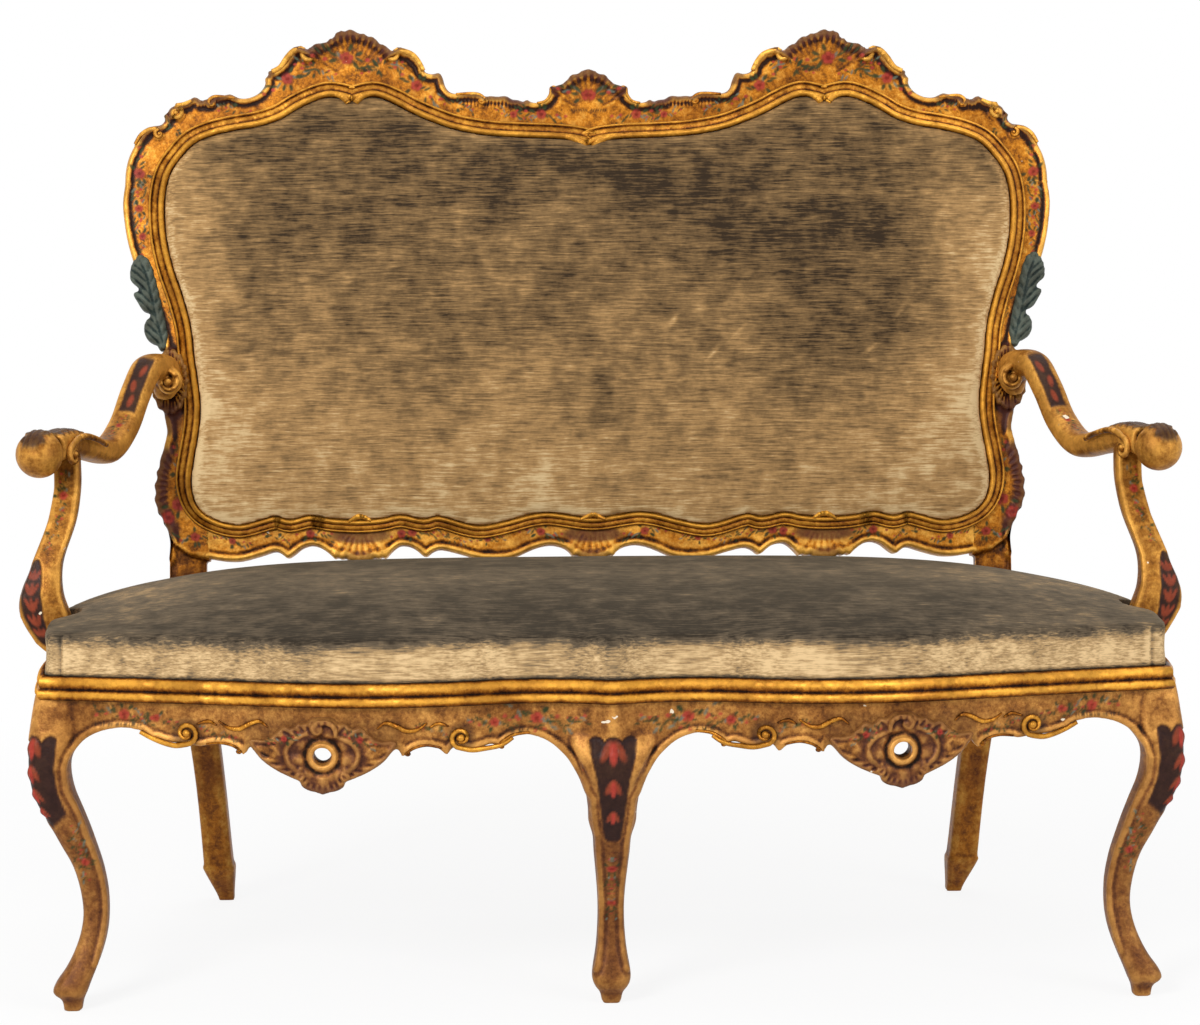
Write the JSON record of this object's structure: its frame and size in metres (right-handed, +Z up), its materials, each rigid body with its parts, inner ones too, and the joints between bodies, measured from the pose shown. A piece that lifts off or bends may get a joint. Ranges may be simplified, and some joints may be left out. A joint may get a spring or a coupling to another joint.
{
  "type": "settee",
  "caption": "Carved and painted giltwood settee with cabriole legs, open scroll arms, a shaped padded back and a bowed stuffed seat in striated velvet.",
  "frame": {"origin": "on the floor under the middle of the settee's overall box", "axes": "+X towards the viewer's right when facing the settee, +Y towards its back, +Z up"},
  "size_m": [1.538, 0.7687, 1.2527],
  "materials": {
    "painted_gilt": "polychrome paint and gilding over carved wood, worn at the edges",
    "bright_gilt": "burnished water gilding over carved wood",
    "green_leaf": "grey-green painted carved wood",
    "raw_wood": "bare wood",
    "velvet": "taupe and gold striated velvet",
    "webbing": "jute webbing",
    "hessian": "hessian",
    "stuffing": "hair and tow stuffing",
    "lining": "plain cotton",
    "steel": "iron tacks and screws"
  },
  "bodies": {
    "root": {"front_leg_middle": "painted_gilt", "rear_rail": "painted_gilt", "seat_brace": "raw_wood", "crest_rail": "painted_gilt", "crest_shell": "painted_gilt", "lower_back_rail": "painted_gilt", "back_moulding_top": "bright_gilt", "back_moulding_bottom": "bright_gilt", "joint_pegs": "raw_wood", "joint_dowels": "raw_wood", "frame_screws": "steel", "webbing_tacks": "steel", "seat_webbing_cross": "webbing", "seat_webbing_long": "webbing", "back_webbing_upright": "webbing", "back_webbing_cross": "webbing", "seat_hessian": "hessian", "seat_stuffing": "stuffing", "seat_cover": "velvet", "back_hessian": "hessian", "back_stuffing": "stuffing", "back_cover": "velvet", "back_lining": "lining", "front_leg_right": "painted_gilt", "front_leg_left": "painted_gilt", "front_rail_right": "painted_gilt", "front_rail_left": "painted_gilt", "rail_cartouche_right": "painted_gilt", "rail_cartouche_left": "painted_gilt", "front_moulding_right": "bright_gilt", "front_moulding_left": "bright_gilt", "side_moulding_right": "bright_gilt", "side_moulding_left": "bright_gilt", "rear_stile_right": "painted_gilt", "rear_stile_left": "painted_gilt", "side_rail_right": "painted_gilt", "side_rail_left": "painted_gilt", "crest_carving_right": "painted_gilt", "crest_carving_left": "painted_gilt", "back_moulding_side_right": "bright_gilt", "back_moulding_side_left": "bright_gilt", "stile_leaf_right": "green_leaf", "stile_leaf_left": "green_leaf", "arm_right": "painted_gilt", "arm_left": "painted_gilt", "arm_support_right": "painted_gilt", "arm_support_left": "painted_gilt", "corner_block_front_right": "raw_wood", "corner_block_front_left": "raw_wood", "corner_block_rear_right": "raw_wood", "corner_block_rear_left": "raw_wood", "corner_block_middle_right": "raw_wood", "corner_block_middle_left": "raw_wood"}
  },
  "joints": []
}
